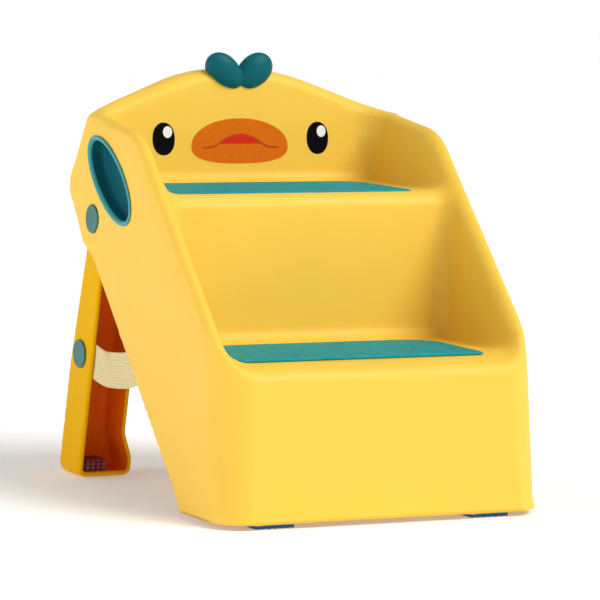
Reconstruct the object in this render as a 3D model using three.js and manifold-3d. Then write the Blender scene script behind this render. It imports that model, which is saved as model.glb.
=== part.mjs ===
// A toddler's folding two-step stool with a duck-face backrest.
// One moulded front shell carries the treads, the side walls and the backrest. A moulded leg frame is hinged near
// its top and folds forward into the hollow back of the shell. Two webbing straps limit how far the leg opens.
// Millimetres, +Z up, front towards -Y. The origin is on the floor, in the middle of the whole outline.

import * as THREE from 'three';
import { mergeVertices } from 'three/addons/utils/BufferGeometryUtils.js';
import Module from 'manifold-3d';

const wasm = await Module();
wasm.setup();

// ---------- driving dimensions ----------
// Y is measured from the foot of the front face here; the whole group is moved to its centred origin at the end.
const GAP = 0.3; // between pieces that touch
const HALF_WIDTH = 180;
const MIDDLE_Y = 218.16; // the middle of the whole outline, from the front face to the heel of the leg
const WALL = 3.2;
const BASE = 4.4; // the shell's lower edge stands this high on its feet
const LEAN = 0.11; // how far the front face leans back per millimetre of height
const FRONT_CORNER = 40;
const REAR_CORNER = 6;

const STEP_1 = 164; // height of the lower tread
const STEP_2 = 317; // height of the upper tread
const RISER_FOOT = 186;
const RISER_HEAD = 190;
const BACKREST_FOOT = 355;
const BACKREST_LEAN = 0.08;
const BACK = 406; // rear edge of the side walls
const HUB_TOP = 323; // height where that edge turns forward at 45 degrees
const HEAD_BACK = 403;
const HEAD_CORNER = 55;
const REAR_OPENING = 150; // half the width of the opening in the back
const RIM_OFFSET = 140; // the side walls' sloping rim is the line z = y + RIM_OFFSET
const REAR_OFFSET = -100.5; // and their rear edge is the line z = y + REAR_OFFSET
const RIM_TOP = 377; // height where the rim turns into the gently rising top edge of the side walls
const SIDE_TOP = 390; // the highest point of that top edge, and of the head's shoulders
const HEAD_PEAK = 452; // where the two roof lines of the head would meet
const HEAD_ARCH = 250;
const HEAD_TOP = HEAD_PEAK - HEAD_ARCH * (Math.hypot(1, (HEAD_PEAK - SIDE_TOP) / HALF_WIDTH) - 1);
const SHOULDER = 24;
const WELL_HALF = 157; // half the clear width between the side walls
const TREAD_THICK = 4.5;

const PAD_RECESS = 2.2;
const PAD_THICK = 2.6;
const PAD_LEFT = -150; // the pads reach further towards the left wall than the right one
const PAD_RIGHT = 127;
const PAD_FRONT_CORNER = 8;
const PAD_REAR_CORNER = 34;

const PIVOT = [339.8, 280.6]; // hinge of the leg, y and z
const PIVOT_BOSS = 17;
const BOSS_DEPTH = 4.4;
const BOLT_SHANK = 5;
const BOLT_HEAD = 9;
const BOLT_SEAT = 5; // the bolt's head lies this deep in the side wall
const BUSH_RADIUS = 8.2;
const CAP_RADIUS = 15.1;
const CAP_SEAT = 2.6; // depth of the cap's recess
const CAP_PROUD = 1.6;
const LEG_CAP_THICK = 2;

const LEG_OUTER = 172;
const LEG_INNER = 123.5;
const LEG_FOOT_INNER = 111;
const LEG_WALL = 3;
const LEG_BASE = 0.8;
const LEG_BOSS = 3;
const LEG_TOP = 330; // above the highest point of the leg
const PANEL_DEPTH = 4; // the cross panel behind the channels
const PANEL_TOP = 286;
const ARCH_TOP = 176;
const ARCH_CORNER = 50;
const BEAM = [351, 262]; // the round beam along the panel, y and z
const BEAM_RADIUS = 9;

const STRAP_REAR = [383.6, 133.6]; // where the strap is fixed to the leg, y and z
const STRAP_FRONT = [215, 160]; // and to the shell
const STRAP_WIDTH = 38;
const STRAP_THICK = 1.6;
const STRAP_SPACE = 0.5; // between the strap and the wall it is fixed to
const STUD_RADIUS = 3.5;
const SCREW_RADIUS = 2.3;
const TAB_INNER = 146;
const TAB_OUTER = 150;

const GRIP_CENTRE = [296.5, 324];
const GRIP_LONG = 61;
const GRIP_SHORT = 26.5;
const GRIP_TILT = 0.605;
const GRIP_DEPTH = 18.5;
const GRIP_WALL = 2.2;
const GRIP_RIM = 3.5;
const GRIP_RIM_THICK = 1.7;

const ARC_STEP = Math.PI / 12; // largest turn of one facet on a rounded outline
const FACET_SAG = 0.3; // and the most it may stand off its arc
const ROUND_SIDES = 28;
const UNDER = -20; // below, above and beyond everything, for the ends of cutting tools
const OVER = 520;
const BEYOND = 600;
const OPEN = -60; // a side that is moved this far out is left open

// ---------- materials ----------
const plastic = (color, roughness = 0.42) => new THREE.MeshStandardMaterial({ color, roughness, metalness: 0 });
const yellow = () => plastic(0xf8d04a);
const deepYellow = () => plastic(0xedbd12);
const teal = () => plastic(0x1fa0a0, 0.6);
const greyTeal = () => plastic(0x4e8f90);
const darkTeal = () => plastic(0x006e70, 0.5);
const cream = () => plastic(0xecdca0, 0.9);
const rubber = () => plastic(0x5b5f6e, 0.85);
const blueRubber = () => plastic(0x3f7fa8, 0.8);
const nylon = () => plastic(0xe9e6dc, 0.55);
const steel = () => new THREE.MeshStandardMaterial({ color: 0xb9bcc0, roughness: 0.35, metalness: 1 });

// ---------- geometry helpers ----------

// One closed mesh with shared corners, no flat triangles and its faces pointing out.
function weld(source) {
  const bare = source.index ? source.clone() : mergeVertices(source.clone());
  bare.deleteAttribute('normal');
  bare.deleteAttribute('uv');
  const merged = mergeVertices(bare, 1e-4);
  const index = merged.index.array;
  const kept = [];
  for (let i = 0; i < index.length; i += 3) {
    const [a, b, c] = [index[i], index[i + 1], index[i + 2]];
    if (a !== b && b !== c && c !== a) kept.push(a, b, c);
  }
  merged.setIndex(signedVolume(merged, kept) < 0 ? kept.reverse() : kept);
  return merged;
}

function signedVolume(geometry, index) {
  const at = (i) => new THREE.Vector3().fromBufferAttribute(geometry.attributes.position, i);
  let total = 0;
  for (let i = 0; i < index.length; i += 3) {
    total += at(index[i]).dot(at(index[i + 1]).cross(at(index[i + 2])));
  }
  return total / 6;
}

function solid(geometry) {
  const welded = weld(geometry);
  const vertProperties = new Float32Array(welded.attributes.position.array);
  const triVerts = new Uint32Array(welded.index.array);
  return new wasm.Manifold(new wasm.Mesh({ numProp: 3, vertProperties, triVerts }));
}

function geometryOf(body) {
  const mesh = body.getMesh();
  const geometry = new THREE.BufferGeometry();
  geometry.setAttribute('position', new THREE.BufferAttribute(new Float32Array(mesh.vertProperties), 3));
  geometry.setIndex(new THREE.BufferAttribute(new Uint32Array(mesh.triVerts), 1));
  return geometry;
}

const joined = (...bodies) => bodies.reduce((whole, body) => whole.add(body));
const cut = (body, ...tools) => tools.reduce((rest, tool) => rest.subtract(tool), body);

// The points of a polygon whose corners [a, b, radius] are rounded.
function rounded(corners) {
  const points = [];
  corners.forEach(([a, b, radius = 0], i) => {
    const here = new THREE.Vector2(a, b);
    const before = new THREE.Vector2(...corners.at(i - 1).slice(0, 2)).sub(here).normalize();
    const after = new THREE.Vector2(...corners[(i + 1) % corners.length].slice(0, 2)).sub(here).normalize();
    if (radius === 0) {
      points.push(here);
      return;
    }
    const half = Math.acos(THREE.MathUtils.clamp(before.dot(after), -1, 1)) / 2;
    const centre = here.clone().addScaledVector(before.clone().add(after).normalize(), radius / Math.sin(half));
    const start = here.clone().addScaledVector(before, radius / Math.tan(half)).sub(centre);
    const turn = Math.sign(after.cross(before)) * (Math.PI - 2 * half);
    const finest = 2 * Math.acos(1 - Math.min(1, FACET_SAG / radius));
    const steps = Math.max(1, Math.ceil(Math.abs(turn) / Math.min(ARC_STEP, finest)));
    for (let k = 0; k <= steps; k++) {
      points.push(start.clone().rotateAround(new THREE.Vector2(), (turn * k) / steps).add(centre));
    }
  });
  return points;
}

// The corners of the same polygon with each edge moved inwards by its own distance (edge i leaves corner i).
function moved(corners, distances) {
  const area = corners.reduce((sum, [a, b], i) => {
    const [c, d] = corners[(i + 1) % corners.length];
    return sum + a * d - b * c;
  }, 0);
  const edges = corners.map(([a, b], i) => {
    const [c, d] = corners[(i + 1) % corners.length];
    const along = new THREE.Vector2(c - a, d - b).normalize();
    const inward = new THREE.Vector2(-along.y, along.x).multiplyScalar(Math.sign(area));
    return { start: new THREE.Vector2(a, b).addScaledVector(inward, distances[i]), along };
  });
  return corners.map(([, , radius = 0], i) => {
    const [one, two] = [edges.at(i - 1), edges[i]];
    const reach = two.start.clone().sub(one.start).cross(two.along) / one.along.cross(two.along);
    const corner = one.start.clone().addScaledVector(one.along, reach);
    return [corner.x, corner.y, radius];
  });
}

function extrusion(points, from, to, basis) {
  const geometry = new THREE.ExtrudeGeometry(new THREE.Shape(points), { depth: to - from, bevelEnabled: false });
  return geometry.translate(0, 0, from).applyMatrix4(basis);
}

// Extruded outlines: prismX takes [y, z] points, prismY takes [x, z] points and prismZ takes [x, y] points.
const vector = (x, y, z) => new THREE.Vector3(x, y, z);
const alongX = new THREE.Matrix4().makeBasis(vector(0, 1, 0), vector(0, 0, 1), vector(1, 0, 0));
const alongY = new THREE.Matrix4().makeBasis(vector(1, 0, 0), vector(0, 0, 1), vector(0, -1, 0));
const prismX = (points, from, to) => solid(extrusion(points, Math.min(from, to), Math.max(from, to), alongX));
const prismY = (points, from, to) => solid(extrusion(points, -to, -from, alongY));
const prismZ = (points, from, to) => solid(extrusion(points, from, to, new THREE.Matrix4()));

const ellipse = ([a, b], long, short, tilt = 0, sides = 40) =>
  Array.from({ length: sides }, (_, i) => {
    const angle = (2 * Math.PI * i) / sides;
    return new THREE.Vector2(long * Math.cos(angle), short * Math.sin(angle))
      .rotateAround(new THREE.Vector2(), tilt)
      .add(new THREE.Vector2(a, b));
  });
const circle = (centre, radius, sides = ROUND_SIDES) => ellipse(centre, radius, radius, 0, sides);

// A turned piece along +X from a profile of [x, radius] points.
function turned(profile, sides = ROUND_SIDES) {
  const points = profile.map(([x, radius]) => new THREE.Vector2(radius, x));
  return weld(new THREE.LatheGeometry(points, sides).rotateZ(-Math.PI / 2));
}
const disc = (from, to, radius) => [[from, 0], [from, radius], [to, radius], [to, 0]];
const ring = (from, to, inner, outer) => [[from, inner], [from, outer], [to, outer], [to, inner], [from, inner]];

// ---------- the group and its meshes ----------
const stool = new THREE.Group();
stool.position.y = -MIDDLE_Y;

function piece(parent, name, geometry, material) {
  const mesh = new THREE.Mesh(geometry, material);
  mesh.name = name;
  parent.add(mesh);
}

const SIDES = [['left', -1], ['right', 1]];

// A group on one side of the stool whose local +X points outwards.
function outwardGroup(sign, [y, z]) {
  const group = new THREE.Group();
  group.position.set(0, y, z);
  group.rotation.z = sign < 0 ? Math.PI : 0;
  stool.add(group);
  return group;
}

// ---------- front shell ----------
function sideOutline() {
  const rimFoot = RIM_OFFSET / (1 / LEAN - 1);
  return [
    [LEAN * BASE, BASE],
    [rimFoot, rimFoot + RIM_OFFSET, 30],
    [RIM_TOP - RIM_OFFSET, RIM_TOP, 70],
    [BACK + HUB_TOP - SIDE_TOP, SIDE_TOP, 50],
    [BACK, HUB_TOP, 16],
    [BACK, BACK + REAR_OFFSET, 20],
    [BASE - REAR_OFFSET, BASE],
  ];
}

function headOutline() {
  return [
    [-HALF_WIDTH, STEP_2],
    [-HALF_WIDTH, SIDE_TOP, SHOULDER],
    [0, HEAD_PEAK, HEAD_ARCH],
    [HALF_WIDTH, SIDE_TOP, SHOULDER],
    [HALF_WIDTH, STEP_2],
  ];
}

// The open space above the treads, seen from the side.
function wellOutline() {
  const skim = 0.2;
  return [
    [OPEN, STEP_1 / 2],
    [LEAN * (STEP_1 / 2) - skim, STEP_1 / 2],
    [LEAN * STEP_1 - skim, STEP_1, 25],
    [RISER_FOOT, STEP_1, 8],
    [RISER_HEAD, STEP_2, 16],
    [BACKREST_FOOT, STEP_2, 10],
    [BACKREST_FOOT + BACKREST_LEAN * (BEYOND - STEP_2), BEYOND],
    [OPEN, BEYOND],
  ];
}

// The outline seen from above, leaned back with the front face.
function planPrism(half, front, frontCorner, back, rearCorner) {
  const shear = new THREE.Matrix4().set(1, 0, 0, 0, 0, 1, LEAN, 0, 0, 0, 1, 0, 0, 0, 0, 1);
  const frontPlan = [[-half, front, frontCorner], [half, front, frontCorner], [half, BEYOND], [-half, BEYOND]];
  const rearPlan = [[-half, OPEN], [half, OPEN], [half, back, rearCorner], [-half, back, rearCorner]];
  const leaned = extrusion(rounded(frontPlan), UNDER, OVER, new THREE.Matrix4()).applyMatrix4(shear);
  return solid(leaned).intersect(prismZ(rounded(rearPlan), UNDER, OVER));
}

function padOutline(front, back, growth) {
  return rounded([
    [PAD_LEFT - growth, front - growth, PAD_FRONT_CORNER],
    [PAD_RIGHT + growth, front - growth, PAD_FRONT_CORNER],
    [PAD_RIGHT + growth, back + growth, PAD_REAR_CORNER],
    [PAD_LEFT - growth, back + growth, PAD_REAR_CORNER],
  ]);
}

const PADS = [
  ['lower_tread_pad', STEP_1, 39, 164],
  ['upper_tread_pad', STEP_2, 203, 333],
];

// Thin upright ribs that stiffen the treads, the riser and the backrest from behind.
const RIBS = { at: [-84, -28, 28, 84], half: 1.3, deep: 13 };

function ribZone() {
  const reach = -WALL - RIBS.deep;
  const zone = moved(wellOutline(), [0, reach, reach, reach, reach, reach, 0, 0]).map(([y, z]) => [y, z]);
  return joined(...RIBS.at.map((x) => prismX(rounded(zone), x - RIBS.half, x + RIBS.half)));
}

function strapTab(sign) {
  const [y, z] = STRAP_FRONT;
  const wall = RISER_FOOT + 1.5;
  const outline = [[wall, z - 8], [y + 13, z - 14, 12], [y + 13, z + 12, 12], [wall, z + 40]];
  const screwHole = prismX(circle(STRAP_FRONT, SCREW_RADIUS + GAP, 16), sign * (TAB_INNER - 5), sign * (TAB_OUTER + 5));
  return prismX(rounded(outline), sign * TAB_INNER, sign * TAB_OUTER).subtract(screwHole);
}

// The front feet, as they stand under the shell's front edge.
const FOOT = { inner: 99, outer: 143, front: 10, back: 38, stud: 3, ledge: 4 };
FOOT.middle = [(FOOT.inner + FOOT.outer) / 2, (FOOT.front + FOOT.back) / 2];

// A flat ledge inside the front edge, with a hole for the foot's stud.
function footLedge(sign) {
  const margin = 5;
  const plan = rounded([
    [sign * (FOOT.inner - margin), WALL / 2],
    [sign * (FOOT.outer + margin), WALL / 2],
    [sign * (FOOT.outer + margin), FOOT.back + margin],
    [sign * (FOOT.inner - margin), FOOT.back + margin],
  ]);
  const hole = prismZ(circle([sign * FOOT.middle[0], FOOT.middle[1]], FOOT.stud + GAP, 16), UNDER, OVER);
  return prismZ(plan, BASE, BASE + FOOT.ledge).subtract(hole);
}

function shellBody() {
  const skim = 0.05;
  const headStart = BACKREST_FOOT - 8;
  const outer = prismX(rounded(sideOutline()), -HALF_WIDTH, HALF_WIDTH)
    .intersect(planPrism(HALF_WIDTH, skim, FRONT_CORNER, BACK, REAR_CORNER))
    .add(prismY(rounded(headOutline()), headStart, HEAD_BACK)
      .intersect(planPrism(HALF_WIDTH, skim, FRONT_CORNER, HEAD_BACK, HEAD_CORNER)));
  const well = prismX(rounded(wellOutline()), -WELL_HALF, WELL_HALF);

  // The inside follows the outside one wall's thickness in, and is open behind and below.
  const innerHalf = HALF_WIDTH - WALL;
  const innerSide = moved(sideOutline(), [WALL, WALL, WALL, WALL, OPEN, OPEN, OPEN]);
  const innerHead = moved(headOutline(), [WALL, WALL, WALL, WALL, OPEN]);
  const rearWay = prismZ(rounded([
    [-REAR_OPENING, BACK / 2], [REAR_OPENING, BACK / 2], [REAR_OPENING, BEYOND], [-REAR_OPENING, BEYOND],
  ]), UNDER, OVER);
  const innerPlan = (back, corner) =>
    planPrism(innerHalf, WALL, FRONT_CORNER - WALL, back - WALL, corner - WALL).add(rearWay);
  const wellSkin = moved(wellOutline(), [0, -WALL, -TREAD_THICK, -WALL, -TREAD_THICK, -WALL, 0, 0]);
  const innerWell = prismX(rounded(wellSkin), -WELL_HALF - WALL, WELL_HALF + WALL);
  const hollow = prismX(rounded(innerSide), -innerHalf, innerHalf)
    .intersect(innerPlan(BACK, REAR_CORNER))
    .add(prismY(rounded(innerHead), headStart, BEYOND).intersect(innerPlan(HEAD_BACK, HEAD_CORNER)))
    .subtract(innerWell)
    .subtract(ribZone());

  let shell = cut(outer, well, hollow);
  for (const [, height, front, back] of PADS) {
    shell = shell.subtract(prismZ(padOutline(front, back, GAP), height - PAD_RECESS, height + PAD_THICK));
  }
  const bossInner = HALF_WIDTH - WALL - BOSS_DEPTH;
  const gripHole = ellipse(GRIP_CENTRE, GRIP_LONG + GAP, GRIP_SHORT + GAP, GRIP_TILT);
  for (const [, sign] of SIDES) {
    const outside = sign * (HALF_WIDTH + 5);
    const boss = prismX(circle(PIVOT, PIVOT_BOSS), sign * bossInner, sign * (HALF_WIDTH - 1));
    shell = joined(shell, boss, strapTab(sign), footLedge(sign));
    shell = cut(
      shell,
      prismX(circle(PIVOT, CAP_RADIUS + GAP), sign * (HALF_WIDTH - CAP_SEAT), outside),
      prismX(circle(PIVOT, BOLT_HEAD + GAP, 24), sign * (HALF_WIDTH - BOLT_SEAT), outside),
      prismX(circle(PIVOT, BOLT_SHANK + GAP, 24), sign * (bossInner - 5), outside),
      prismX(gripHole, sign * (HALF_WIDTH - 2 * WALL), outside),
      prismZ(circle([sign * TUFT.screwX, TUFT.screwY], TUFT.screw + GAP, 16), SIDE_TOP, OVER),
    );
  }
  return shell;
}

// ---------- tuft of two leaves ----------
const TUFT = {
  x: 16.6, y: 369, z: 433, long: 24.5, wide: 17.5, thick: 12.5, tilt: 0.72,
  screwX: 15, screwY: 371.3, screw: 1.5, screwHead: 2.8, screwLength: 13, holeTop: 446,
};

function leaf(sign) {
  const geometry = new THREE.SphereGeometry(1, 20, 12);
  geometry.scale(TUFT.long, TUFT.thick, TUFT.wide);
  geometry.rotateY(-sign * TUFT.tilt);
  return solid(geometry.translate(sign * TUFT.x, TUFT.y, TUFT.z));
}

function tuftBody() {
  const head = moved(headOutline(), [-GAP, -GAP, -GAP, -GAP, 0]);
  const lowest = TUFT.z - TUFT.long;
  const seat = prismY(rounded(head), BACKREST_FOOT + BACKREST_LEAN * (lowest - STEP_2) - GAP, BACK);
  const holes = SIDES.map(([, sign]) =>
    prismZ(circle([sign * TUFT.screwX, TUFT.screwY], TUFT.screw + GAP, 16), lowest, TUFT.holeTop));
  return cut(leaf(-1).add(leaf(1)), seat, ...holes);
}

// ---------- rear leg frame ----------
function legOutline() {
  return [
    [384.1, LEG_BASE, 4],
    [319.7, 298.1, 17],
    [355.1, 307.4, 19],
    [414.5, 118, 250],
    [440, LEG_BASE, 12],
  ];
}

function legElevation(sign) {
  return [
    [sign * LEG_OUTER, UNDER],
    [sign * LEG_OUTER, LEG_TOP],
    [sign * LEG_INNER, LEG_TOP],
    [sign * LEG_INNER, 48, 30],
    [sign * LEG_FOOT_INNER, 20, 30],
    [sign * LEG_FOOT_INNER, UNDER],
  ];
}

function legBody() {
  const full = prismX(rounded(legOutline()), -LEG_OUTER, LEG_OUTER);
  const channelSide = moved(legOutline(), [OPEN, LEG_WALL, LEG_WALL, LEG_WALL, LEG_WALL]);
  const hollow = prismX(rounded(channelSide), -LEG_OUTER, LEG_OUTER);

  // The cross panel joins the channels at their rear faces; its lower edge is an arch.
  const half = LEG_INNER + 1;
  const panelInner = moved(legOutline(), [OPEN, OPEN, PANEL_DEPTH, PANEL_DEPTH, OPEN]).map(([y, z]) => [y, z]);
  const arch = rounded([
    [-LEG_INNER, UNDER], [-LEG_INNER, ARCH_TOP, ARCH_CORNER], [LEG_INNER, ARCH_TOP, ARCH_CORNER], [LEG_INNER, UNDER],
  ]);
  const above = rounded([[0, PANEL_TOP], [BEYOND, PANEL_TOP], [BEYOND, OVER], [0, OVER]]);
  const panel = cut(
    prismX(rounded(legOutline()), -half, half),
    prismX(rounded(panelInner), -half - 1, half + 1),
    prismY(arch, 0, BEYOND),
    prismX(above, -half - 1, half + 1),
  );
  let leg = panel.add(prismX(circle(BEAM, BEAM_RADIUS, 24), -half, half));

  for (const [, sign] of SIDES) {
    const elevation = legElevation(sign);
    const inner = moved(elevation, [LEG_WALL, UNDER, LEG_WALL, LEG_WALL, LEG_WALL, -LEG_BASE + UNDER]);
    const channel = full.intersect(prismY(rounded(elevation), 0, BEYOND))
      .subtract(hollow.intersect(prismY(rounded(inner), 0, BEYOND)));
    const bossInner = LEG_OUTER - LEG_WALL - LEG_BOSS;
    const boss = prismX(circle(PIVOT, 13), sign * bossInner, sign * (LEG_OUTER - 1));
    const outside = sign * (LEG_OUTER + 5);
    leg = cut(
      joined(leg, channel, boss),
      prismX(circle(PIVOT, BUSH_RADIUS + GAP, 24), sign * (bossInner - 5), outside),
      prismX(circle(STRAP_REAR, STUD_RADIUS + GAP, 20), sign * (LEG_OUTER - 2 * LEG_WALL), outside),
      prismZ(circle([sign * REAR_FOOT.nubX, REAR_FOOT.nubY], REAR_FOOT.nub + GAP, 20), UNDER, LEG_BASE + 2 * LEG_WALL),
    );
  }
  return leg;
}

// ---------- rubber foot in the end of each channel, with a nub through the floor of the channel ----------
const REAR_FOOT = { inner: 139, outer: 168.6, front: 388, back: 417, top: 19, nubX: 154, nubY: 403, nub: 8 };

function rearFoot(sign) {
  const { inner, outer, front, back, top, nubX, nubY, nub } = REAR_FOOT;
  const floor = LEG_BASE + LEG_WALL + GAP;
  const slant = 3; // the front face leans forward by this much
  const profile = [[front, floor], [back, floor], [back, top, 3], [front - slant, top, 3]];
  const block = prismX(rounded(profile), sign * inner, sign * outer);
  const groove = { first: 5, pitch: 6.5, wide: 1.6, deep: 2 };
  const slot = rounded([
    [front - 3 * slant, floor - 1],
    [front + groove.deep, floor - 1],
    [front + groove.deep - slant, top + 1],
    [front - 3 * slant, top + 1],
  ]);
  const grooves = [0, 1, 2, 3].map((i) => {
    const x = inner + groove.first + i * groove.pitch;
    return prismX(slot, sign * x, sign * (x + groove.wide));
  });
  return cut(block, ...grooves).add(prismZ(circle([sign * nubX, nubY], nub, 20), 0, floor + 2));
}

// ---------- strap ----------
const STRAP_AT_LEG = LEG_OUTER - LEG_WALL - STRAP_SPACE - STRAP_THICK / 2;
const STRAP_AT_TAB = TAB_OUTER + STRAP_SPACE + STRAP_THICK / 2;

// The closed outline of a band of the given width along a curve through points.
function bandAlong(points, width) {
  const curve = new THREE.SplineCurve(points.map(([a, b]) => new THREE.Vector2(a, b)));
  const steps = 28;
  const edge = (offset) => Array.from({ length: steps + 1 }, (_, i) => {
    const tangent = curve.getTangent(i / steps);
    return curve.getPoint(i / steps).addScaledVector(new THREE.Vector2(-tangent.y, tangent.x), offset);
  });
  return [...edge(width / 2), ...edge(-width / 2).reverse()];
}

// The strap stands on edge: its sag is drawn from the side and its course between leg and tab from above.
function strapBody(sign) {
  const sag = [
    [STRAP_REAR[0] + 8, STRAP_REAR[1] + 0.8], STRAP_REAR, [350, 128.6], [327, 123.2], [312, 123], [276, 132.2],
    STRAP_FRONT, [STRAP_FRONT[0] - 11, STRAP_FRONT[1] + 5],
  ];
  const course = [
    [STRAP_AT_LEG, 410], [STRAP_AT_LEG, STRAP_REAR[0]], [STRAP_AT_LEG - 1, 352], [STRAP_AT_TAB + 6.5, 327],
    [STRAP_AT_TAB + 3, 306], [STRAP_AT_TAB + 0.5, 262], [STRAP_AT_TAB, STRAP_FRONT[0] + 12], [STRAP_AT_TAB, 190],
  ].map(([x, y]) => [sign * x, y]);
  return cut(
    prismX(bandAlong(sag, STRAP_WIDTH), -HALF_WIDTH, HALF_WIDTH)
      .intersect(prismZ(bandAlong(course, STRAP_THICK), UNDER, OVER)),
    prismX(circle(STRAP_REAR, STUD_RADIUS + GAP, 16), 0, sign * HALF_WIDTH),
    prismX(circle(STRAP_FRONT, SCREW_RADIUS + GAP, 16), 0, sign * HALF_WIDTH),
  );
}

// ---------- grip cup ----------
function gripCup(sign) {
  const outside = HALF_WIDTH + GAP;
  const grown = (growth) => ellipse(GRIP_CENTRE, GRIP_LONG + growth, GRIP_SHORT + growth, GRIP_TILT);
  const flange = prismX(grown(GRIP_RIM), sign * outside, sign * (outside + GRIP_RIM_THICK));
  const bowl = prismX(grown(0), sign * (HALF_WIDTH - GRIP_DEPTH), sign * (outside + 1));
  const inside = prismX(grown(-GRIP_WALL), sign * (HALF_WIDTH - GRIP_DEPTH + GRIP_WALL), sign * (outside + 10));
  return joined(flange, bowl).subtract(inside);
}

// ---------- assembly ----------
piece(stool, 'front_shell', geometryOf(shellBody()), yellow());
for (const [name, height, front, back] of PADS) {
  const bottom = height - PAD_RECESS + GAP;
  piece(stool, name, geometryOf(prismZ(padOutline(front, back, 0), bottom, bottom + PAD_THICK)), teal());
}
piece(stool, 'head_tuft', geometryOf(tuftBody()), darkTeal());
piece(stool, 'rear_leg', geometryOf(legBody()), deepYellow());

function nut(from, to, radius, bore) {
  const hexagon = circle([0, 0], radius, 6);
  return geometryOf(prismX(hexagon, from, to).subtract(prismX(circle([0, 0], bore, 20), from - 1, to + 1)));
}

// Front foot: a flat pad with a stud through the shell's ledge.
function addFrontFoot(side, sign) {
  const [x, y] = FOOT.middle;
  const pad = rounded([
    [sign * FOOT.inner, FOOT.front, 4], [sign * FOOT.outer, FOOT.front, 4],
    [sign * FOOT.outer, FOOT.back, 4], [sign * FOOT.inner, FOOT.back, 4],
  ]);
  const stud = prismZ(circle([sign * x, y], FOOT.stud, 16), 1, BASE + FOOT.ledge + 2);
  piece(stool, `${side}_front_foot`, geometryOf(prismZ(pad, 0, BASE - GAP).add(stud)), blueRubber());
}

// Tuft screw, driven up through the top of the head.
function addTuftScrew(side, sign) {
  const { screwX, screwY, screw, screwHead, screwLength } = TUFT;
  const headThick = 2.2;
  const profile = [
    [0, 0], [0, screwHead], [headThick, screwHead], [headThick, screw], [screwLength, screw], [screwLength, 0],
  ];
  const group = new THREE.Group();
  group.position.set(sign * screwX, screwY, HEAD_TOP - WALL - headThick - 1.4);
  group.rotation.y = -Math.PI / 2;
  stool.add(group);
  piece(group, `${side}_tuft_screw`, turned(profile, 16), steel());
}

// Leg hinge, from the cap outside to the nut inside the channel.
function addHinge(side, sign) {
  const hinge = outwardGroup(sign, PIVOT);
  const seat = HALF_WIDTH - CAP_SEAT;
  const face = HALF_WIDTH + CAP_PROUD;
  const boltHead = HALF_WIDTH - BOLT_SEAT + GAP;
  const washer = { from: LEG_OUTER - LEG_WALL - LEG_BOSS - 2.3, thick: 1.8, radius: 10 };
  const nutEnd = washer.from - GAP;
  const tip = nutEnd - 8;
  piece(hinge, `${side}_pivot_cap`, turned([
    [seat + GAP, 0], [seat + GAP, CAP_RADIUS], [face - 1, CAP_RADIUS], [face - 0.3, CAP_RADIUS - 1.5], [face, 0],
  ]), greyTeal());
  piece(hinge, `${side}_pivot_bolt`, turned([
    [tip, 0], [tip, BOLT_SHANK], [boltHead, BOLT_SHANK], [boltHead, BOLT_HEAD], [seat, BOLT_HEAD], [seat, 0],
  ]), steel());
  const bushInner = washer.from + washer.thick + GAP;
  piece(hinge, `${side}_pivot_bush`,
    turned(ring(bushInner, LEG_OUTER - 0.2, BOLT_SHANK + GAP, BUSH_RADIUS), 24), nylon());
  piece(hinge, `${side}_pivot_washer`,
    turned(ring(washer.from, washer.from + washer.thick, BOLT_SHANK + GAP, washer.radius), 24), steel());
  piece(hinge, `${side}_pivot_nut`, nut(nutEnd - 6, nutEnd, 9, BOLT_SHANK + GAP), steel());
}

// Strap fixing on the leg: cap, stud, washer and nut.
function addStrapEnd(side, sign) {
  const end = outwardGroup(sign, STRAP_REAR);
  const foot = LEG_OUTER + GAP;
  const strapInner = STRAP_AT_LEG - STRAP_THICK / 2;
  const washerInner = strapInner - 1.9;
  const nutOuter = washerInner - GAP;
  piece(end, `${side}_strap_cap`, turned([
    [foot, 0], [foot, CAP_RADIUS], [foot + LEG_CAP_THICK - 0.7, CAP_RADIUS],
    [foot + LEG_CAP_THICK, CAP_RADIUS - 1.5], [foot + LEG_CAP_THICK + GAP, 0],
  ]), greyTeal());
  piece(end, `${side}_strap_stud`, turned(disc(strapInner - 8, LEG_OUTER, STUD_RADIUS), 20), steel());
  piece(end, `${side}_strap_washer`,
    turned(ring(washerInner, washerInner + 1.5, STUD_RADIUS + GAP, 9), 24), steel());
  piece(end, `${side}_strap_nut`, nut(nutOuter - 4.2, nutOuter, 6.4, STUD_RADIUS + GAP), steel());
}

// Strap fixing on the shell: clamp plate and screw.
function addStrapStart(side, sign) {
  const start = outwardGroup(sign, STRAP_FRONT);
  const foot = STRAP_AT_TAB + STRAP_THICK / 2 + 0.4;
  const plateThick = 1.6;
  const outline = rounded([[-9, -14, 3], [9, -14, 3], [9, 14, 3], [-9, 14, 3]]);
  const bore = prismX(circle([0, 0], SCREW_RADIUS + 0.5, 16), foot - 2, foot + 4);
  const plate = prismX(outline, foot, foot + plateThick).subtract(bore);
  piece(start, `${side}_strap_plate`, geometryOf(plate), steel());
  const tip = TAB_INNER - 3;
  const head = foot + plateThick + GAP;
  piece(start, `${side}_strap_screw`, turned([
    [tip, 0], [tip, SCREW_RADIUS], [head, SCREW_RADIUS], [head, 5], [head + 1.7, 4], [head + 2.3, 0],
  ], 20), steel());
}

for (const [side, sign] of SIDES) {
  piece(stool, `${side}_grip_cup`, geometryOf(gripCup(sign)), teal());
  piece(stool, `${side}_strap`, geometryOf(strapBody(sign)), cream());
  piece(stool, `${side}_rear_foot`, geometryOf(rearFoot(sign)), rubber());
  addFrontFoot(side, sign);
  addTuftScrew(side, sign);
  addHinge(side, sign);
  addStrapEnd(side, sign);
  addStrapStart(side, sign);
}

export default stool;
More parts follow.
